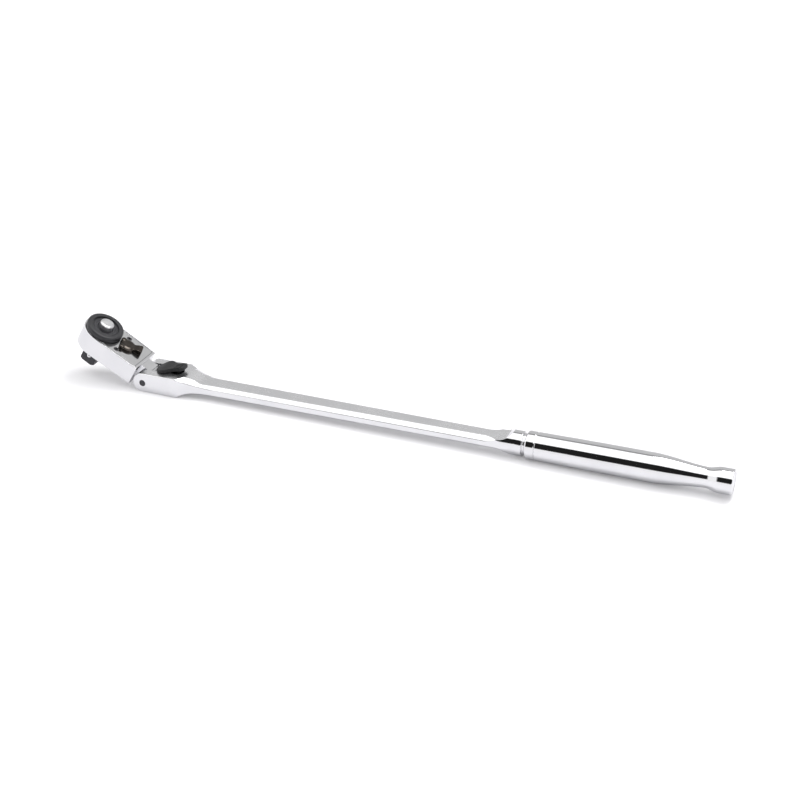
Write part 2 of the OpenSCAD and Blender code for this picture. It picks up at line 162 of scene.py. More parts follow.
def arc(centre, radius, start, end, steps):
    """Points on an arc, angles in degrees."""
    angles = [math.radians(start + (end - start) * i / steps) for i in range(steps + 1)]
    return [Vector((centre[0] + radius * math.cos(a), centre[1] + radius * math.sin(a))) for a in angles]


def inset(outline, distance):
    """Closed anticlockwise outline moved inwards along each corner's bisector."""
    moved = []
    count = len(outline)
    for i, here in enumerate(outline):
        a = (here - outline[i - 1]).normalized()
        b = (outline[(i + 1) % count] - here).normalized()
        inward = Vector((-a.y - b.y, a.x + b.x))
        moved.append(here + inward * distance / max(0.4, 1 + a.dot(b)))
    return moved


def solid(points, faces):
    """Clean mesh from points and faces: doubled points merged, faces turned outwards."""
    mesh = bpy.data.meshes.new("solid")
    mesh.from_pydata([tuple(p) for p in points], [], faces)
    work = bmesh.new()
    work.from_mesh(mesh)
    bmesh.ops.remove_doubles(work, verts=work.verts, dist=1e-4)
    bmesh.ops.recalc_face_normals(work, faces=work.faces)
    work.to_mesh(mesh)
    work.free()
    return mesh


def skin(rings, capped=True, looped=False):
    """Mesh over rings of equal length, joined in order: capped flat, or looped from the last to the first."""
    count = len(rings[0])
    points = [p for ring in rings for p in ring]
    faces = []
    for i in range(len(rings) - (0 if looped else 1)):
        a = i * count
        b = (i + 1) % len(rings) * count
        for k in range(count):
            m = (k + 1) % count
            faces.append((a + k, a + m, b + m, b + k))
    if capped:
        faces.append(tuple(range(count)))
        faces.append(tuple(range(len(points) - count, len(points))))
    return solid(points, faces)


def turned(profile, around=96):
    """Solid turned about Z from (radius, height) pairs; one that stays off the axis closes on itself."""
    turn = [2 * math.pi * k / around for k in range(around)]
    rings = [[(r * math.cos(a), r * math.sin(a), z) for a in turn] for r, z in profile]
    hollow = min(r for r, _ in profile) > 0
    return skin(rings, capped=False, looped=hollow)


def prism(outline, low, high, rim=0.0, steps=3):
    """Upright solid on an anticlockwise outline, its top and bottom rims rounded."""
    turn = [math.pi / 2 * s / steps for s in range(steps + 1)] if rim else [0]
    levels = [(rim * (1 - math.sin(a)), low + rim * (1 - math.cos(a))) for a in turn]
    levels += [(rim * (1 - math.cos(a)), high - rim * (1 - math.sin(a))) for a in turn]
    rings = [[(p.x, p.y, z) for p in inset(outline, d)] for d, z in levels]
    return skin(rings)


def box(x1, x2, width, z1, z2, rim=0.0):
    """Box centred on y = 0."""
    half = width / 2
    outline = [Vector(p) for p in ((x1, -half), (x2, -half), (x2, half), (x1, half))]
    return prism(outline, z1, z2, rim)


def disc(radius, low, high, rim=0.0, around=64, x=0.0, y=0.0):
    """Upright cylinder with rounded rims."""
    return prism(arc((x, y), radius, 0, 360 * (around - 1) / around, around - 1), low, high, rim)


def cross_pin(x, z, radius, width, rim=0.0, around=64):
    """Cylinder along Y, centred on y = 0."""
    mesh = disc(radius, -width / 2, width / 2, rim, around)
    mesh.transform(Matrix.Translation((x, 0, z)) @ Matrix.Rotation(math.radians(90), 4, "X"))
    return mesh


def extruded_sideways(outline, width):
    """Solid on an (x, z) outline, centred on y = 0."""
    mesh = prism([Vector(p[:2]) for p in outline], -width / 2, width / 2)
    mesh.transform(Matrix.Rotation(math.radians(90), 4, "X"))
    return mesh


def evaluated(mesh, setups):
    """Mesh after a stack of modifiers given as (type, settings)."""
    holder = bpy.data.objects.new("holder", mesh)
    bpy.context.scene.collection.objects.link(holder)
    for kind, settings in setups:
        modifier = holder.modifiers.new(kind, kind)
        for key, value in settings.items():
            setattr(modifier, key, value)
    ready = holder.evaluated_get(bpy.context.evaluated_depsgraph_get())
    result = bpy.data.meshes.new_from_object(ready)
    bpy.data.objects.remove(holder)
    return result


def combine(base, tools, operation):
    """Base mesh with each tool mesh cut from it, joined to it or kept in common with it."""
    for tool in tools:
        partner = bpy.data.objects.new("partner", tool)
        bpy.context.scene.collection.objects.link(partner)
        base = evaluated(base, [("BOOLEAN", {"operation": operation, "object": partner, "solver": "EXACT"})])
        bpy.data.objects.remove(partner)
    return base


def cut(base, *tools):
    """Base mesh with the tool meshes cut from it."""
    return combine(base, tools, "DIFFERENCE")


def join(base, *tools):
    """Base mesh and tool meshes as one solid."""
    return combine(base, tools, "UNION")


def common(base, *tools):
    """What the base mesh and the tool meshes have in common."""
    return combine(base, tools, "INTERSECT")


def softened(mesh, voxel, rounds):
    """Mesh with every edge rounded over, as a cast or tumbled piece."""
    return evaluated(mesh, [
        ("REMESH", {"mode": "VOXEL", "voxel_size": voxel}),
        ("SMOOTH", {"factor": 0.5, "iterations": rounds}),
    ])


def place(name, mesh, where, body, material, slot, stands_for=(), crease=28):
    """Puts a mesh made in millimetres into the scene as a piece that rides on a CAD body."""
    mesh.transform(Matrix.Scale(MM, 4))
    mesh.shade_smooth()
    mesh.set_sharp_from_angle(angle=math.radians(crease))
    mesh.materials.clear()
    mesh.materials.append(material)
    obj = bpy.data.objects.new(name, mesh)
    bpy.context.scene.collection.objects.link(obj)
    obj.matrix_world = where
    weighted = obj.modifiers.new("weighted", "WEIGHTED_NORMAL")
    weighted.keep_sharp = True
    weighted.weight = 100
    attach(obj, body)
    if stands_for:
        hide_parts(*stands_for)
    return obj


# ---- materials ------------------------------------------------------------------------------


def add_node(tree, kind, values=None, **links):
    """Shader node with its settings, input values and linked inputs."""
    made = tree.nodes.new(kind)
    for key, value in (values or {}).items():
        if key in made.inputs:
            made.inputs[key].default_value = value
        else:
            setattr(made, key, value)
    for key, source in links.items():
        tree.links.new(source, made.inputs[key.replace("_", " ")])
    return made


def ramp(tree, source, low, high):
    """Output of a source stretched to run between two values."""
    span = {"From Min": 0.3, "From Max": 0.7, "To Min": low, "To Max": high}
    return add_node(tree, "ShaderNodeMapRange", span, Value=source).outputs["Result"]


def satin_on_flats(tree, roughness, coords, gain, reach):
    """Roughness raised by a gain on faces that look up, out to a reach along the piece's X in metres."""
    up = add_node(tree, "ShaderNodeSeparateXYZ",
                  Vector=add_node(tree, "ShaderNodeNewGeometry").outputs["Normal"]).outputs["Z"]
    along = add_node(tree, "ShaderNodeSeparateXYZ", Vector=coords).outputs["X"]
    level = add_node(tree, "ShaderNodeMapRange", {"From Min": 0.86, "From Max": 0.92}, Value=up)
    near = add_node(tree, "ShaderNodeMapRange", {"From Min": reach, "From Max": reach - 0.002}, Value=along)
    share = add_node(tree, "ShaderNodeMath", {"operation": "MULTIPLY"})
    tree.links.new(level.outputs["Result"], share.inputs[0])
    tree.links.new(near.outputs["Result"], share.inputs[1])
    raised = add_node(tree, "ShaderNodeMath", {"operation": "MULTIPLY_ADD"})
    tree.links.new(share.outputs[0], raised.inputs[0])
    raised.inputs[1].default_value = gain
    tree.links.new(roughness, raised.inputs[2])
    return raised.outputs[0]


def surface(name, dark, light, metallic, roughness, grain=900, stretch=(1, 1, 1), bump=0.02, edge=0.15,
            smudge=60, specular=0.5, satin=None):
    """Worn surface: blotchy colour and roughness, a fine grain in the bump, and edges that catch the light.

    Grain and smudge are noise scales per metre, edge a radius in millimetres, satin an optional
    (gain, reach) for faces that look up.
    """
    material = bpy.data.materials.new(name)
    material.use_nodes = True
    tree = material.node_tree
    tree.nodes.clear()
    coords = add_node(tree, "ShaderNodeTexCoord").outputs["Object"]
    brushed = add_node(tree, "ShaderNodeMapping", {"Scale": stretch}, Vector=coords).outputs["Vector"]
    blotches = add_node(tree, "ShaderNodeTexNoise", {"Scale": smudge, "Detail": 4.0}, Vector=coords)
    fine = add_node(tree, "ShaderNodeTexNoise", {"Scale": grain, "Detail": 6.0}, Vector=brushed)
    mixed = add_node(tree, "ShaderNodeMath", {"operation": "ADD"})
    tree.links.new(blotches.outputs["Fac"], mixed.inputs[0])
    tree.links.new(fine.outputs["Fac"], mixed.inputs[1])
    halved = add_node(tree, "ShaderNodeMath", {"operation": "MULTIPLY"})
    tree.links.new(mixed.outputs[0], halved.inputs[0])
    halved.inputs[1].default_value = 0.5
    colour = add_node(tree, "ShaderNodeMix", {"data_type": "RGBA"})
    tree.links.new(ramp(tree, blotches.outputs["Fac"], 0, 1), colour.inputs["Factor"])
    colour.inputs[6].default_value = (*dark, 1)
    colour.inputs[7].default_value = (*light, 1)
    eased = add_node(tree, "ShaderNodeBevel", {"Radius": edge * MM, "samples": 4})
    raised = add_node(tree, "ShaderNodeBump", {"Strength": bump, "Distance": 0.0001},
                      Height=fine.outputs["Fac"], Normal=eased.outputs["Normal"])
    rough = ramp(tree, halved.outputs[0], *roughness)
    if satin:
        rough = satin_on_flats(tree, rough, coords, *satin)
    shine = {"Metallic": metallic, "Specular IOR Level": specular}
    shader = add_node(tree, "ShaderNodeBsdfPrincipled", shine,
                      Roughness=rough, Normal=raised.outputs["Normal"])
    tree.links.new(colour.outputs[2], shader.inputs["Base Color"])
    output = add_node(tree, "ShaderNodeOutputMaterial")
    tree.links.new(shader.outputs["BSDF"], output.inputs["Surface"])
    return material


def forged_chrome():
    return surface("forged_chrome", (0.80, 0.80, 0.82), (0.86, 0.86, 0.875), 1.0, (0.04, 0.09),
                   grain=2600, stretch=(0.05, 1, 1), bump=0.03, satin=(0.2, (FLAT_RUNOUT + 8) * MM))


def plate_chrome():
    return surface("plate_chrome", (0.74, 0.74, 0.75), (0.80, 0.80, 0.81), 1.0, (0.13, 0.2),
                   grain=3000, stretch=(0.08, 1, 1), bump=0.05)


def black_oxide():
    return surface("black_oxide", (0.045, 0.045, 0.05), (0.07, 0.07, 0.076), 0.5, (0.34, 0.5),
                   grain=4000, bump=0.2, smudge=300)


def black_lever():
    return surface("black_lever", (0.010, 0.010, 0.011), (0.017, 0.017, 0.019), 0.0, (0.46, 0.6),
                   grain=5000, bump=0.35, smudge=200, specular=0.4)


def black_ring():
    return surface("black_ring", (0.018, 0.018, 0.021), (0.028, 0.028, 0.032), 0.0, (0.32, 0.46),
                   grain=5000, bump=0.3, smudge=300, specular=0.5)


def black_chrome():
    return surface("black_chrome", (0.060, 0.052, 0.046), (0.10, 0.088, 0.078), 1.0, (0.12, 0.22),
                   grain=2500, bump=0.06, smudge=250)


def bright_steel():
    return surface("bright_steel", (0.50, 0.50, 0.51), (0.66, 0.66, 0.67), 1.0, (0.18, 0.32),
                   grain=2500, stretch=(1, 0.05, 1), bump=0.15, smudge=200)


def polished_ball():
    return surface("polished_ball", (0.80, 0.80, 0.82), (0.88, 0.88, 0.90), 1.0, (0.03, 0.08),
                   grain=1500, bump=0.02, smudge=400, edge=0.02)


def satin_steel():
    return surface("satin_steel", (0.66, 0.66, 0.67), (0.78, 0.78, 0.79), 1.0, (0.26, 0.36),
                   grain=3500, bump=0.12, smudge=300)


def spring_steel():
    return surface("spring_steel", (0.34, 0.34, 0.35), (0.5, 0.5, 0.51), 1.0, (0.25, 0.4),
                   grain=4000, bump=0.1, smudge=600, edge=0.03)


def seal_rubber():
    return surface("seal_rubber", (0.012, 0.012, 0.012), (0.024, 0.024, 0.024), 0.0, (0.5, 0.65),
                   grain=3000, bump=0.2, smudge=400, edge=0.05)


# ---- handle ---------------------------------------------------------------------------------

BLOCK_END = 22.3
TOP_FLAT_START = 26.0        # where the neck's top begins to fall and its width to follow the shaft's
NECK_FLAT_HALF = 5.8         # half-width of the top flat there
NECK_TOP_END = 38.0
NECK_BOTTOM_END = 33.0
NECK_END = 45.0
FLAT_HALF = 4.9
SHAFT_HALF_WIDTH = 7.5
SHAFT_HALF_HEIGHT = 3.05
RIDGE_TOP = 1.5              # where the shaft's upright sides meet its wide upper bevels
LOWER_BEVEL = 0.95           # size of the narrow bevels along its underside
BAR_R = 7.2
TAPERED_FLAT = 3.8           # top flat, sides and ridge height where the bevels begin to run out
TAPERED_SIDE = 6.6
TAPERED_RIDGE = 0.8
BEVEL_RUNOUT = HANDLE_END - 139
BEVEL_RUNOUT_R = 18.0
SIDE_RUNOUT = HANDLE_END - 134
SIDE_RUNOUT_R = 36.0
FLAT_RUNOUT = HANDLE_END - 131
FLAT_RUNOUT_R = 10.9
BAR_END = HANDLE_END - 116.8
GRIP_START = HANDLE_END - 114.7
GRIP_R = handle_high.z
WAIST_R = 5.75
LIP_R = 7.25
EDGE = 0.3                   # chamfer along the edges of the clevis block
CORNER_STEPS = 12
CORNER_TRIM = 0.34
ROUNDING_RUN = 12            # length over which the shaft is brought inside the round bar's circle
GRIP_FRONT_R = 8.15


def side_ends(a, b, limit):
    """Ends of the straight side from a to b inside a circle; a side outside it shrinks to one point."""
    along = (b - a).normalized()
    foot = a - along * a.dot(along)
    reach = math.sqrt(max(0, limit ** 2 - foot.length_squared))
    start = max(a.dot(along), -reach)
    end = min(b.dot(along), reach)
    if start >= end:
        point = (a + b).normalized() * limit
        return point, point
    return foot + along * start, foot + along * end


def arc_between(a, b, radius, steps):
    """Arc of a circle round the centre from a to b, the short way."""
    start = math.atan2(a.y, a.x)
    sweep = (math.atan2(b.y, b.x) - start + math.pi) % (2 * math.pi) - math.pi
    angles = [start + sweep * s / steps for s in range(steps + 1)]
    return [Vector((radius * math.cos(t), radius * math.sin(t))) for t in angles]


def milled_ring(x, corners, limit=NO_LIMIT):
    """Section of a bar at x: straight sides between corners, kept inside a circle.

    A corner inside the circle is a small fillet, one outside it is an arc of the circle.
    """
    sides = [side_ends(c, corners[(i + 1) % len(corners)], limit) for i, c in enumerate(corners)]
    ring = []
    for i, corner in enumerate(corners):
        (far_before, before), (after, far_after) = sides[i - 1], sides[i]
        if corner.length >= limit:
            ring += arc_between(before, after, limit, CORNER_STEPS)
            continue
        trim = CORNER_TRIM * min(1, (limit - corner.length) / 0.5)
        back = far_before - before
        ahead = far_after - after
        a = corner + back.normalized() * min(trim, back.length * 0.45)
        b = corner + ahead.normalized() * min(trim, ahead.length * 0.45)
        ring += [bezier(a, corner, b, s / CORNER_STEPS) for s in range(CORNER_STEPS + 1)]
    return [(x, p.x, p.y) for p in ring]


def mirrored(*half):
    """Corners of a section that is the same on both sides, from its +Y half, top to bottom."""
    half = [Vector(corner) for corner in half]
    return half + [Vector((-p.x, p.y)) for p in reversed(half)]


def fade(t, power):
    """Falls from 1 to 0 as t goes from 0 to 1, faster at first for a higher power."""
    return (1 - min(1, max(0, t))) ** power


def ear_section(x):
    """Clevis block, rounded about the hinge axis at its front."""
    height = math.sqrt(EAR_R ** 2 - min(x, 0) ** 2)
    bottom = -min(CLEVIS_BOTTOM, height)
    edge = EDGE * height / EAR_R
    return mirrored((CLEVIS_HALF - edge, height), (CLEVIS_HALF, height - edge),
                    (CLEVIS_HALF, bottom + edge), (CLEVIS_HALF - edge, bottom))


def neck_section(x):
    """Neck: the block's sides fold down into the shaft's eight flats."""
    t = fade((x - BLOCK_END) / (NECK_END - BLOCK_END), 2)
    narrowing = fade((x - BLOCK_END) / (TOP_FLAT_START - BLOCK_END), 1)
    fall = smooth((x - TOP_FLAT_START) / (NECK_TOP_END - TOP_FLAT_START))
    neck_half = NECK_FLAT_HALF + (FLAT_HALF - NECK_FLAT_HALF) * fall
    top_half = neck_half + (CLEVIS_HALF - EDGE - NECK_FLAT_HALF) * narrowing
    top = EAR_R - (EAR_R - SHAFT_HALF_HEIGHT) * fall
    side = SHAFT_HALF_WIDTH + (CLEVIS_HALF - SHAFT_HALF_WIDTH) * t
    side_top = RIDGE_TOP + (EAR_R - EDGE - RIDGE_TOP) * t
    drop = fade((x - BLOCK_END) / (NECK_BOTTOM_END - BLOCK_END), 2)
    bottom = -SHAFT_HALF_HEIGHT - (CLEVIS_BOTTOM - SHAFT_HALF_HEIGHT) * drop
    bevel = LOWER_BEVEL + (EDGE - LOWER_BEVEL) * t
    return mirrored((top_half, top), (side, side_top), (side, bottom + bevel), (side - bevel, bottom))


def rise(x, start, radius):
    """Height gained by a milled flat that curves up from its start."""
    run = min(max(x - start, 0), radius)
    return radius - math.sqrt(radius ** 2 - run ** 2)


def shaft_section(x):
    """Eight flats that taper towards the round bar and run out into it in arcs, the bevels first."""
    taper = min(1, (x - NECK_END) / (BEVEL_RUNOUT - NECK_END))
    flat = FLAT_HALF + (TAPERED_FLAT - FLAT_HALF) * taper
    side = SHAFT_HALF_WIDTH + (TAPERED_SIDE - SHAFT_HALF_WIDTH) * taper
    ridge = RIDGE_TOP + (TAPERED_RIDGE - RIDGE_TOP) * taper
    slope = math.atan2(side - flat, SHAFT_HALF_HEIGHT - ridge)
    bevel = flat * math.cos(slope) + SHAFT_HALF_HEIGHT * math.sin(slope)
    bevel += rise(x, BEVEL_RUNOUT, BEVEL_RUNOUT_R)
    top = SHAFT_HALF_HEIGHT + rise(x, FLAT_RUNOUT, FLAT_RUNOUT_R)
    side += rise(x, SIDE_RUNOUT, SIDE_RUNOUT_R)
    bevel = min(bevel, side * math.cos(slope) + top * math.sin(slope) - 0.02)
    flat = (bevel - top * math.sin(slope)) / math.cos(slope)
    ridge = (bevel - side * math.cos(slope)) / math.sin(slope)
    return mirrored((flat, top), (side, ridge), (side, LOWER_BEVEL - top), (side - LOWER_BEVEL, -top))


def round_limit(x):
    """Radius of the circle the shaft is kept inside: the round bar's, once its flats begin to run out."""
    wide = 1 - smooth((x - BEVEL_RUNOUT + ROUNDING_RUN) / ROUNDING_RUN)
    return BAR_R + (SHAFT_HALF_WIDTH + 1 - BAR_R) * wide


def grip_radius(x):
    """Grip: a slight belly, a waist near the end and a flared lip."""
    front = GRIP_FRONT_R + (GRIP_R - GRIP_FRONT_R) * smooth((x - GRIP_START) / 46)
    waist = (GRIP_R - WAIST_R) * smooth((x - HANDLE_END + 45) / 32)
    lip = (LIP_R - WAIST_R) * smooth((x - HANDLE_END + 14.5) / 7.5)
    return front - waist + lip


def spread(start, end, step):
    """Evenly spaced values from start to just short of end."""
    count = max(1, round((end - start) / step))
    return [start + (end - start) * i / count for i in range(count)]


def grip_profile():
    """(x, radius) pairs from the end of the round bar to the end of the grip."""
    groove = GRIP_START + 5.5
    middle = (BAR_END + GRIP_START) / 2
    front = rounded([
        (BAR_END - 0.6, BAR_R, 0), (BAR_END, BAR_R, 0.25), (BAR_END + 0.25, BAR_R - 0.7, 0.2),
        (middle, BAR_R - 1.4, 0.6), (GRIP_START - 0.2, BAR_R - 0.6, 0.2),
        (GRIP_START, 7.6, 0.25), (GRIP_START + 0.6, GRIP_FRONT_R, 0.35),
        (groove - 0.45, GRIP_FRONT_R, 0.15), (groove, 7.7, 0.15), (groove + 0.45, grip_radius(groove), 0.15),
        (groove + 1.2, grip_radius(groove + 1.2), 0),
    ])
    belly_end = HANDLE_END - 2.4
    belly = [Vector((x, grip_radius(x))) for x in spread(groove + 2, belly_end, 1.3)]
    end = rounded([
        (belly_end, LIP_R, 0), (HANDLE_END, LIP_R, 0.8), (HANDLE_END, LIP_R - 1.2, 0.3),
        (HANDLE_END - 0.3, LIP_R - 1.5, 0.2), (HANDLE_END - 0.3, LIP_R - 3.4, 0),
    ], steps=6)
    return front + belly + end


def handle_bar():
    """The handle's outside as one skin from the clevis ears to the end of the grip."""
    turn = [math.radians(87.7 * (1 - i / 16)) for i in range(16)]
    rings = [milled_ring(x, ear_section(x)) for x in [-EAR_R * math.sin(a) for a in turn]]
    rings += [milled_ring(x, ear_section(x)) for x in spread(0, BLOCK_END, 5)]
    rings += [milled_ring(x, neck_section(x)) for x in spread(BLOCK_END, NECK_END, 0.37)]
    round_start = BEVEL_RUNOUT - 14
    rings += [milled_ring(x, shaft_section(x)) for x in spread(NECK_END, round_start, 8)]
    rings += [milled_ring(x, shaft_section(x), round_limit(x))
              for x in spread(round_start, FLAT_RUNOUT + 10, 0.2)]
    far_corners = arc((0, 0), 2 * GRIP_R, 67.5, -247.5, 7)
    rings += [milled_ring(p.x, far_corners, p.y) for p in grip_profile()]
    return skin(rings)


def handle_mesh():
    """Handle, cut for the tongue, the lock pawl, the lock lever and their pins.

    The lock lever pin's bore is drawn from one side and stops short of the pin's far end.
    """
    slot = box(-10, 6.1, 10.4, -10, 10)
    pocket = box(5.1, 17.4, 9.3, -3.4, 10)
    recess_x = 18.5
    recess_r = 4.1
    recess = join(box(16.4, recess_x, 2 * recess_r, 1.0, 10), disc(recess_r, 1.0, 10, x=recess_x))
    hinge_bore = cross_pin(0, 0, HINGE_BORE_R, 2 * CLEVIS_HALF + 2)
    lever_bore = cross_pin(LEVER_PIN_X, LEVER_PIN_Z, 1.12, CLEVIS_HALF + 9.5)
    lever_bore.transform(Matrix.Translation((0, 6.675, 0)))
    return cut(handle_bar(), slot, pocket, recess, hinge_bore, lever_bore)


# ---- head -----------------------------------------------------------------------------------

SCREW_X = -24.8
SCREW_Y = 7.65
SEAM = 0.28                  # gap round the cover plate
HEAD_REAR = -7.3             # rear face of the head, and half its width there
HEAD_REAR_HALF = 11.5
COVER_REAR_HALF = 10.4
GEAR_CAVITY_R = 9.3
CAVITY_FLOOR = -5
NOTCH_CIRCLE_R = 6.0         # circle of the tongue's notches, their radius and the angle between them
NOTCH_R = 0.6
NOTCH_STEP = 15


def head_outline(radius, rear_x, rear_half):
    """Round end at the drive axis, with sides that run back to the rear."""
    side = math.degrees(math.atan2(radius - rear_half, REACH + rear_x))
    tip = arc((-REACH, 0), radius, 90 - side, 270 + side, 64)
    rear = rounded([(tip[-1].x, tip[-1].y, 0), (rear_x, -rear_half, 0.5), (rear_x, rear_half, 0.5),
                    (tip[0].x, tip[0].y, 0)])
    return tip[1:-1] + rear


def head_mesh():
    """Head with its notched tongue, cut for the cover plate, the gear and the reversing lever.

    The CAD's pawl pocket, screw holes and bore for the lever's lower end are not drawn, so the pawls, the
    screws and that end lie inside its solid.
    """
    body = prism(head_outline(HEAD_R, HEAD_REAR, HEAD_REAR_HALF), HEAD_BOTTOM, HEAD_TOP, 0.35)
    tongue = cross_pin(0, 0, TONGUE_R, TONGUE_WIDTH, 0.2, 128)
    body = join(body, box(-9, 0, TONGUE_WIDTH, -5.4, 5.4), tongue)
    turns = [math.radians(NOTCH_STEP * i) for i in range(-6, 7)]
    places = [(NOTCH_CIRCLE_R * math.cos(a), -NOTCH_CIRCLE_R * math.sin(a)) for a in turns]
    notches = [cross_pin(x, z, NOTCH_R, THROUGH, around=24) for x, z in places]
    seat_outline = head_outline(COVER_R + SEAM, COVER_REAR + SEAM, COVER_REAR_HALF + SEAM)
    cover_seat = prism(seat_outline, COVER_BOTTOM, HEAD_TOP + 2)
    gear_bore = disc(GEAR_CAVITY_R, CAVITY_FLOOR, 10, x=-REACH)
    lower_bore = disc(LOWER_JOURNAL_R + RUN_GAP, HEAD_BOTTOM - 1, 0, x=-REACH)
    lever_bore = disc(5.6, -4.6, 10, x=REVERSER_X)
    pivot_bore = cross_pin(0, 0, HINGE_BORE_R, THROUGH)
    return cut(body, cover_seat, gear_bore, lower_bore, lever_bore, pivot_bore, *notches)


def cover_mesh():
    """Cover plate with holes for the journal and the lever, and two counterbored screw holes."""
    cover = prism(head_outline(COVER_R, COVER_REAR, COVER_REAR_HALF), COVER_BOTTOM, HEAD_TOP, 0.12)
    holes = [disc(JOURNAL_R + RUN_GAP, 0, THROUGH, x=-REACH),
             disc(LEVER_SHAFT_R + RUN_GAP, 0, THROUGH, x=REVERSER_X)]
    for side in (-1, 1):
        holes.append(disc(1.05, 0, THROUGH, x=SCREW_X, y=side * SCREW_Y))
        holes.append(disc(1.65, COVER_BOTTOM + 0.6, THROUGH, x=SCREW_X, y=side * SCREW_Y))
    return cut(cover, *holes)


# ---- drive ----------------------------------------------------------------------------------

SQUARE_HALF = 4.7625
GEAR_TEETH = 60
GEAR_R = 9.1
TOOTH_HEIGHT = 0.5
ROD_BORE_R = 2.45
RING_TRIM = 0.4              # how much slimmer the spin ring is drawn than the CAD's


def gear_mesh():
    """Gear, its journals and the square tang, bored for the button and the ball.

    The CAD's wider bore for the release spring and its groove for the lower seal are not drawn, so the spring
    cuts into its solid and the seal lies inside it.
    """
    top = drive_high.z
    turns = [math.pi * k / GEAR_TEETH for k in range(2 * GEAR_TEETH)]
    rim = [Vector((math.cos(a), math.sin(a))) * (GEAR_R - TOOTH_HEIGHT * (i % 2))
           for i, a in enumerate(turns)]
    gear = prism(rim, -4.9, 4.4)
    journal = turned(rounded([(0, 3.4, 0), (JOURNAL_R, 3.4, 0), (JOURNAL_R, top, 0.35), (6.2, top, 0.2),
                              (5.9, top - 0.35, 0.2), (4.9, top - 0.35, 0.2), (4.6, top - 0.9, 0.2),
                              (0, top - 0.9, 0)]))
    lower = turned(rounded([(0, -4, 0), (LOWER_JOURNAL_R, -4, 0), (LOWER_JOURNAL_R, HEAD_BOTTOM, 0.25),
                            (0, HEAD_BOTTOM, 0)]))
    end = drive_low.z
    tip_r = SQUARE_HALF + 0.6
    quarters = ((1, 1), (-1, 1), (-1, -1), (1, -1))
    square = rounded([(s * SQUARE_HALF, t * SQUARE_HALF, 0.5) for s, t in quarters], closed=True)
    tang = prism(square, end, HEAD_BOTTOM + 0.5, 0.3)
    cone = turned([(0, end - 0.1), (tip_r, end - 0.1), (tip_r + 3.1, end + 3), (tip_r + 3.1, 0), (0, 0)])
    tang = common(tang, cone)
    gear = join(gear, journal, lower, tang)
    ball = (ball_low + ball_high) / 2
    hole = cross_pin(0, 0, 1.62, 6.0, around=48)
    hole.transform(Matrix.Translation((0, -3.35, ball.z)))
    return cut(gear, disc(ROD_BORE_R, -40, THROUGH), disc(4.3, 5.5, THROUGH), hole)


def ring_mesh():
    """Spin ring with a rounded shoulder and a stepped inner edge."""
    low = ring_low.z
    high = ring_high.z
    outer = ring_high.x - RING_TRIM
    return turned(rounded([
        (JOURNAL_R + 0.02, low, 0.01), (outer - 0.5, low, 0.2), (outer, low + 0.5, 0.3),
        (outer, high, 1.6), (JOURNAL_R + 0.9, high, 0.3), (JOURNAL_R + 0.7, high - 1.3, 0.1),
        (JOURNAL_R + 0.02, high - 1.3, 0.05),
    ], closed=True, steps=6), 128)


def button_mesh():
    """Release button with its rod and the neck that lets the ball sink in."""
    top = button_high.z
    radius = button_high.x
    low = button_low.z
    return turned(rounded([
        (0, low, 0), (2.1, low, 0.1), (2.4, low + 0.3, 0.1), (2.4, -13.4, 0.1), (1.5, -11.6, 0.1),
        (1.5, 7.6, 0.1), (radius, 7.6, 0.1), (radius, top - 0.5, 0.5), (radius - 0.8, top, 0.5), (0, top, 0),
    ], steps=5), 96)


def ball_mesh():
    """Detent ball, as large as the CAD's."""
    radius = (ball_high.x - ball_low.x) / 2
    centre = (ball_low + ball_high) / 2
    steps = 24
    ball = turned([(radius * math.sin(math.pi * i / steps), -radius * math.cos(math.pi * i / steps))
                   for i in range(steps + 1)], 48)
    ball.transform(Matrix.Translation(centre))
    return ball


# ---- levers ---------------------------------------------------------------------------------

LEVER_VOXEL = 0.14           # mesh size of the levers' rounded skins


def reverser_mesh():
    """Reversing lever: hub with two front lobes, a tail that widens to a straight end.

    The CAD's plunger bores and seal groove are not drawn, so the plungers, their springs and the seal lie
    inside its solid.
    """
    low = HEAD_TOP + 0.15
    hub = turned(rounded([(0, low, 0), (5.0, low, 0.1), (5.0, low + 1.6, 0.7), (3.4, low + 2.35, 0.7),
                          (0, low + 2.45, 0)]))
    lobes = []
    for side in (-1, 1):
        lobe = turned(rounded([(0, low, 0), (1.7, low, 0.1), (1.7, low + 2.3, 0.7), (0, low + 2.5, 0)]), 32)
        lobe.transform(Matrix.Translation((-3.3, side * 3.2, 0)))
        lobes.append(lobe)
    half = [(0, 3.4, 0), (3.9, 2.2, 1.2), (6.6, 2.8, 1.0), (8.6, 3.3, 0.6), (9.0, 2.4, 0.5)]
    plan = rounded([(x, -y, trim) for x, y, trim in half] + half[::-1], closed=True)
    side_view = [(-1, low), (9.4, low), (9.4, low + 2.7), (8.2, low + 2.95), (6.2, low + 2.8),
                 (3.2, low + 1.9), (-1, low + 1.9)]
    tail = common(prism(plan, low - 1, low + 4), extruded_sideways(side_view, 20))
    shaft = turned([(0, -4.5), (LEVER_SHAFT_R, -4.5), (LEVER_SHAFT_R, low + 0.5), (0, low + 0.5)])
    return softened(join(hub, tail, shaft, disc(2.5, -5.7, -4), *lobes), LEVER_VOXEL, 5)


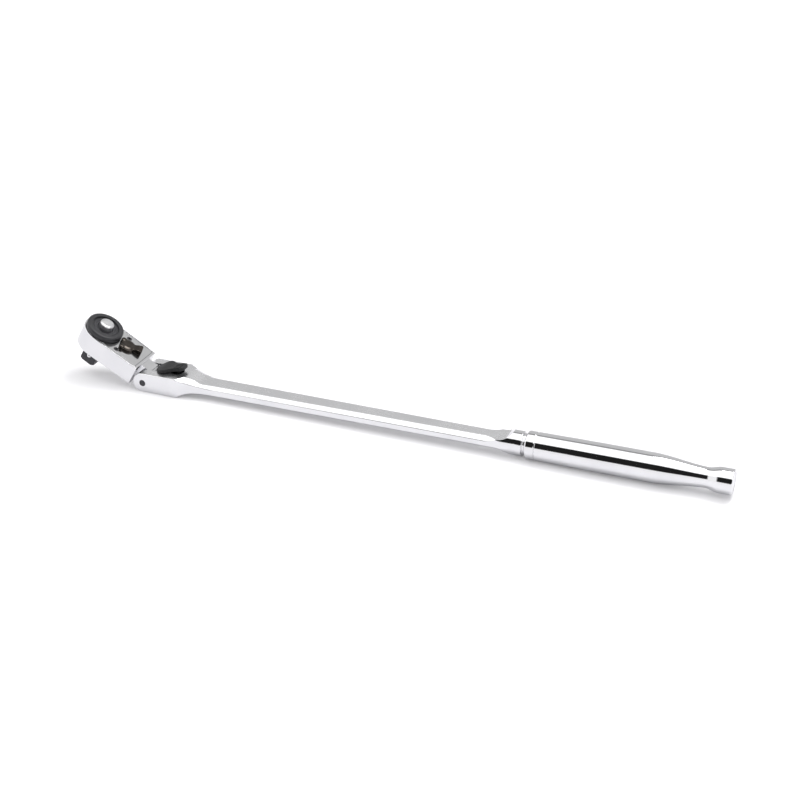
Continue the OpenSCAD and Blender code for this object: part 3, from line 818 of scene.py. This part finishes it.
def lock_lever_mesh():
    """Lock lever: a rounded thumb pad that spreads across the block, with a raised, ribbed tail."""
    half = [(5.6, 2.6, 0.8), (6.5, 4.8, 1.2), (9.2, 7.0, 1.6), (12.2, 7.3, 1.6), (14.2, 5.4, 1.4),
            (17.0, 3.9, 1.6), (23.2, 3.5, 0.8), (24.2, 2.2, 0.8)]
    plan = rounded([(x, -y, trim) for x, y, trim in half] + half[::-1], closed=True)
    side_view = rounded([(5.4, 6.6, 0), (14.0, 6.6, 2.0), (24.6, 8.7, 0), (24.6, 10.2, 0.5),
                         (22.0, 10.7, 1.0), (15.5, 9.0, 2.5), (9.6, 8.4, 1.6), (6.6, 7.15, 0.6),
                         (5.4, 7.0, 0)], closed=True)
    pad = common(prism(plan, 5, 12), extruded_sideways(side_view, 20))
    ribs = [cross_pin(x, 10.35 + (x - 22) * 0.24, 0.3, 20, around=16) for x in (18.2, 19.4, 20.6, 21.8)]
    stem_width = 8.8
    stem = join(box(12.6, 16.2, stem_width, LEVER_PIN_Z, 7.2),
                cross_pin(LEVER_PIN_X, LEVER_PIN_Z, 2.3, stem_width))
    lever = join(pad, stem, box(8.3, 9.75, 5.6, 3.0, 7.2), disc(1.9, 5.2, 9.0, x=19))
    return softened(cut(lever, cross_pin(LEVER_PIN_X, LEVER_PIN_Z, 1.2, 12), *ribs), LEVER_VOXEL, 4)


def lock_pawl_mesh():
    """Lock pawl: a sliding block whose front bar drops into the tongue's notches."""
    width = 9.0
    block = join(box(6.5, 11.1, width, -3.3, 2.6, 0.15), box(6.5, 7.9, width, 2.0, 5.6, 0.15))
    return join(block, box(9.9, 11.1, width, 2.0, 4.8, 0.15), cross_pin(6.5, 0, 0.5, width, around=32))


# ---- build ----------------------------------------------------------------------------------

chrome = forged_chrome()
plate = plate_chrome()
oxide = black_oxide()
steel = bright_steel()
spring = spring_steel()
rubber = seal_rubber()

place("handle_look", handle_mesh(), HINGE, "handle_body", chrome, "forged_chrome", ["handle"])
place("head_look", head_mesh(), HEAD, "head", chrome, "forged_chrome", ["head_body"])
place("cover_look", cover_mesh(), HEAD, "head", plate, "plate_chrome", ["cover_plate"])
place("drive_look", gear_mesh(), DRIVE, "drive", oxide, "black_oxide", ["drive_gear"])
place("ring_look", ring_mesh(), DRIVE, "drive", black_ring(), "black_ring", ["spin_ring"])
place("button_look", button_mesh(), DRIVE, "button", satin_steel(), "satin_steel", ["release_button"])
place("ball_look", ball_mesh(), DRIVE, "ball", polished_ball(), "polished_ball", ["detent_ball"])
place("reverser_look", reverser_mesh(), LEVER, "reverser", black_chrome(), "black_chrome",
      ["reversing_lever"])
place("lock_lever_look", lock_lever_mesh(), HINGE, "lock_lever_body", black_lever(), "black_lever",
      ["lock_lever"])
place("lock_pawl_look", lock_pawl_mesh(), HINGE, "lock_pawl_body", steel, "bright_steel", ["lock_pawl"])

CAD_FINISH = {
    "hinge_pin": (oxide, "black_oxide"),
    "cover_screws": (oxide, "black_oxide"),
    "hinge_washers": (steel, "bright_steel"),
    "lock_lever_pin": (steel, "bright_steel"),
    "upper_pawl": (steel, "bright_steel"),
    "lower_pawl": (steel, "bright_steel"),
    "upper_plunger": (steel, "bright_steel"),
    "lower_plunger": (steel, "bright_steel"),
    "lock_spring": (spring, "spring_steel"),
    "release_spring": (spring, "spring_steel"),
    "upper_plunger_spring": (spring, "spring_steel"),
    "lower_plunger_spring": (spring, "spring_steel"),
    "gear_seal": (rubber, "seal_rubber"),
    "lever_seal": (rubber, "seal_rubber"),
}
for name, (material, slot) in CAD_FINISH.items():
    node = frame["nodes"][name]
    node.data.materials.clear()
    node.data.materials.append(material)

# ---- studio ---------------------------------------------------------------------------------

CAMERA_AZIMUTH = 22.08
CAMERA_ELEVATION = 27.66
CAMERA_DISTANCE = 930.7
CAMERA_AIM = Vector((137.4, 25.9, CLEVIS_BOTTOM + 0.35))
LENS = 71.43
HEEL_X = HINGE.translation.x - MM           # where the clevis block meets the floor, in metres
BELLY_X = HINGE.translation.x + (HANDLE_END - 70) * MM      # where the grip does

# Brightness of the room against the angle round the handle: 0 is level on the camera's side,
# 90 is overhead and 180 is level behind the tool.
ROOM = [
    (-180, 1.0), (52, 1.0), (54, 1.45), (113, 1.45), (116, 0.32), (125, 0.32), (133, 0.6), (180, 0.62),
]
# A dark flag on the camera's side: its share against the same angle, and where it fades out towards the head
FLAG = [(-180, 0), (7, 0), (10, 1), (50, 1), (53, 0), (180, 0)]
FLAG_FADE = (-0.5, -0.36)


def over_angle(tree, spot, stops):
    """Grey level that follows (degrees, value) stops, relative to the highest value."""
    bands = add_node(tree, "ShaderNodeValToRGB", Fac=spot)
    highest = max(value for _, value in stops)
    elements = bands.color_ramp.elements
    elements.remove(elements[-1])
    for i, (degrees, value) in enumerate(stops):
        position = (degrees + 180) / 360
        element = elements[0] if i == 0 else elements.new(position)
        element.position = position
        element.color = (*[value / highest] * 3, 1)
    return bands.outputs["Color"]


def studio_world():
    """Room of light and dark bands round the handle, with a plain white backdrop for the camera."""
    world = bpy.data.worlds.new("studio")
    bpy.context.scene.world = world
    world.use_nodes = True
    tree = world.node_tree
    tree.nodes.clear()
    direction = add_node(tree, "ShaderNodeTexCoord").outputs["Generated"]
    parts = add_node(tree, "ShaderNodeSeparateXYZ", Vector=direction)
    front = add_node(tree, "ShaderNodeMath", {"operation": "MULTIPLY"})
    tree.links.new(parts.outputs["Y"], front.inputs[0])
    front.inputs[1].default_value = -1
    angle = add_node(tree, "ShaderNodeMath", {"operation": "ARCTAN2"})
    tree.links.new(parts.outputs["Z"], angle.inputs[0])
    tree.links.new(front.outputs[0], angle.inputs[1])
    spot = add_node(tree, "ShaderNodeMapRange", {"From Min": -math.pi, "From Max": math.pi},
                    Value=angle.outputs[0]).outputs["Result"]
    reach = add_node(tree, "ShaderNodeMapRange", {"From Min": FLAG_FADE[0], "From Max": FLAG_FADE[1]},
                     Value=parts.outputs["X"])
    flag = add_node(tree, "ShaderNodeMath", {"operation": "MULTIPLY"})
    tree.links.new(over_angle(tree, spot, FLAG), flag.inputs[0])
    tree.links.new(reach.outputs["Result"], flag.inputs[1])
    shaded = add_node(tree, "ShaderNodeMix", {"data_type": "RGBA"}, Factor=flag.outputs[0])
    tree.links.new(over_angle(tree, spot, ROOM), shaded.inputs[6])
    shaded.inputs[7].default_value = (0.01, 0.01, 0.01, 1)
    brightest = max(value for _, value in ROOM)
    room = add_node(tree, "ShaderNodeBackground", {"Strength": brightest}, Color=shaded.outputs[2])
    backdrop = add_node(tree, "ShaderNodeBackground", {"Color": (1, 1, 1, 1), "Strength": 1.0})
    seen = add_node(tree, "ShaderNodeLightPath").outputs["Is Camera Ray"]
    mixed = add_node(tree, "ShaderNodeMixShader", Fac=seen)
    tree.links.new(room.outputs[0], mixed.inputs[1])
    tree.links.new(backdrop.outputs[0], mixed.inputs[2])
    output = add_node(tree, "ShaderNodeOutputWorld")
    tree.links.new(mixed.outputs[0], output.inputs["Surface"])


def floor_place():
    """Placement of the floor, which the tool rests on with its heel and the belly of its grip."""
    slope = math.atan2(HINGE.translation.z - GRIP_R * MM, BELLY_X - HEEL_X)
    return Matrix.Translation((HEEL_X, 0, 0)) @ Matrix.Rotation(-slope, 4, "Y")


def lit_for_camera(material, strength):
    """Adds a faint glow that only the camera sees, so that shadows stay light and the floor ends in white."""
    tree = material.node_tree
    output = next(n for n in tree.nodes if n.type == "OUTPUT_MATERIAL")
    body = output.inputs["Surface"].links[0].from_socket
    seen = add_node(tree, "ShaderNodeLightPath").outputs["Is Camera Ray"]
    level = add_node(tree, "ShaderNodeMath", {"operation": "MULTIPLY"})
    tree.links.new(seen, level.inputs[0])
    level.inputs[1].default_value = strength
    glow = add_node(tree, "ShaderNodeEmission", Strength=level.outputs[0])
    both = add_node(tree, "ShaderNodeAddShader")
    tree.links.new(body, both.inputs[0])
    tree.links.new(glow.outputs[0], both.inputs[1])
    tree.links.new(both.outputs[0], output.inputs["Surface"])


def floor():
    """Pale paper that the tool lies on."""
    mesh = bpy.data.meshes.new("floor")
    half = 6.0
    corners = [(-half, -half, 0), (half, -half, 0), (half, half, 0), (-half, half, 0)]
    mesh.from_pydata(corners, [], [(0, 1, 2, 3)])
    paper = surface("paper", (0.80, 0.795, 0.815), (0.82, 0.815, 0.835), 0.0, (0.7, 0.9),
                    grain=300, bump=0.02, smudge=3, specular=0.1)
    lit_for_camera(paper, 0.22)
    mesh.materials.append(paper)
    obj = bpy.data.objects.new("floor", mesh)
    bpy.context.scene.collection.objects.link(obj)
    obj.matrix_world = floor_place()


def key_light():
    """Large soft light above and behind the grip, so that shadows fall forwards and to the left."""
    data = bpy.data.lights.new("key", "AREA")
    data.shape = "DISK"
    data.size = 0.7
    data.energy = 6
    obj = bpy.data.objects.new("key", data)
    bpy.context.scene.collection.objects.link(obj)
    aim = Vector((0.1, 0, 0))
    obj.location = aim + Vector((0.35, 0.4, 1.1))
    obj.rotation_mode = "QUATERNION"
    obj.rotation_quaternion = (aim - obj.location).to_track_quat("-Z", "Y")


def studio_camera():
    """Camera at the photo's angle, set against the sloping floor."""
    data = bpy.data.cameras.new("camera")
    data.lens = LENS
    data.sensor_width = 36
    data.clip_start = 0.01
    data.clip_end = 20
    obj = bpy.data.objects.new("camera", data)
    bpy.context.scene.collection.objects.link(obj)
    azimuth = math.radians(CAMERA_AZIMUTH)
    elevation = math.radians(CAMERA_ELEVATION)
    back = Vector((math.sin(azimuth) * math.cos(elevation), -math.cos(azimuth) * math.cos(elevation),
                   math.sin(elevation)))
    heel = Matrix.Translation((HEEL_X, 0, 0))
    looking = (-back).to_track_quat("-Z", "Y").to_matrix().to_4x4()
    level = Matrix.Translation((CAMERA_AIM + back * CAMERA_DISTANCE) * MM) @ looking
    obj.matrix_world = floor_place() @ heel.inverted() @ level
    bpy.context.scene.camera = obj


studio_world()
floor()
key_light()
studio_camera()
bpy.context.scene.view_settings.view_transform = "Standard"
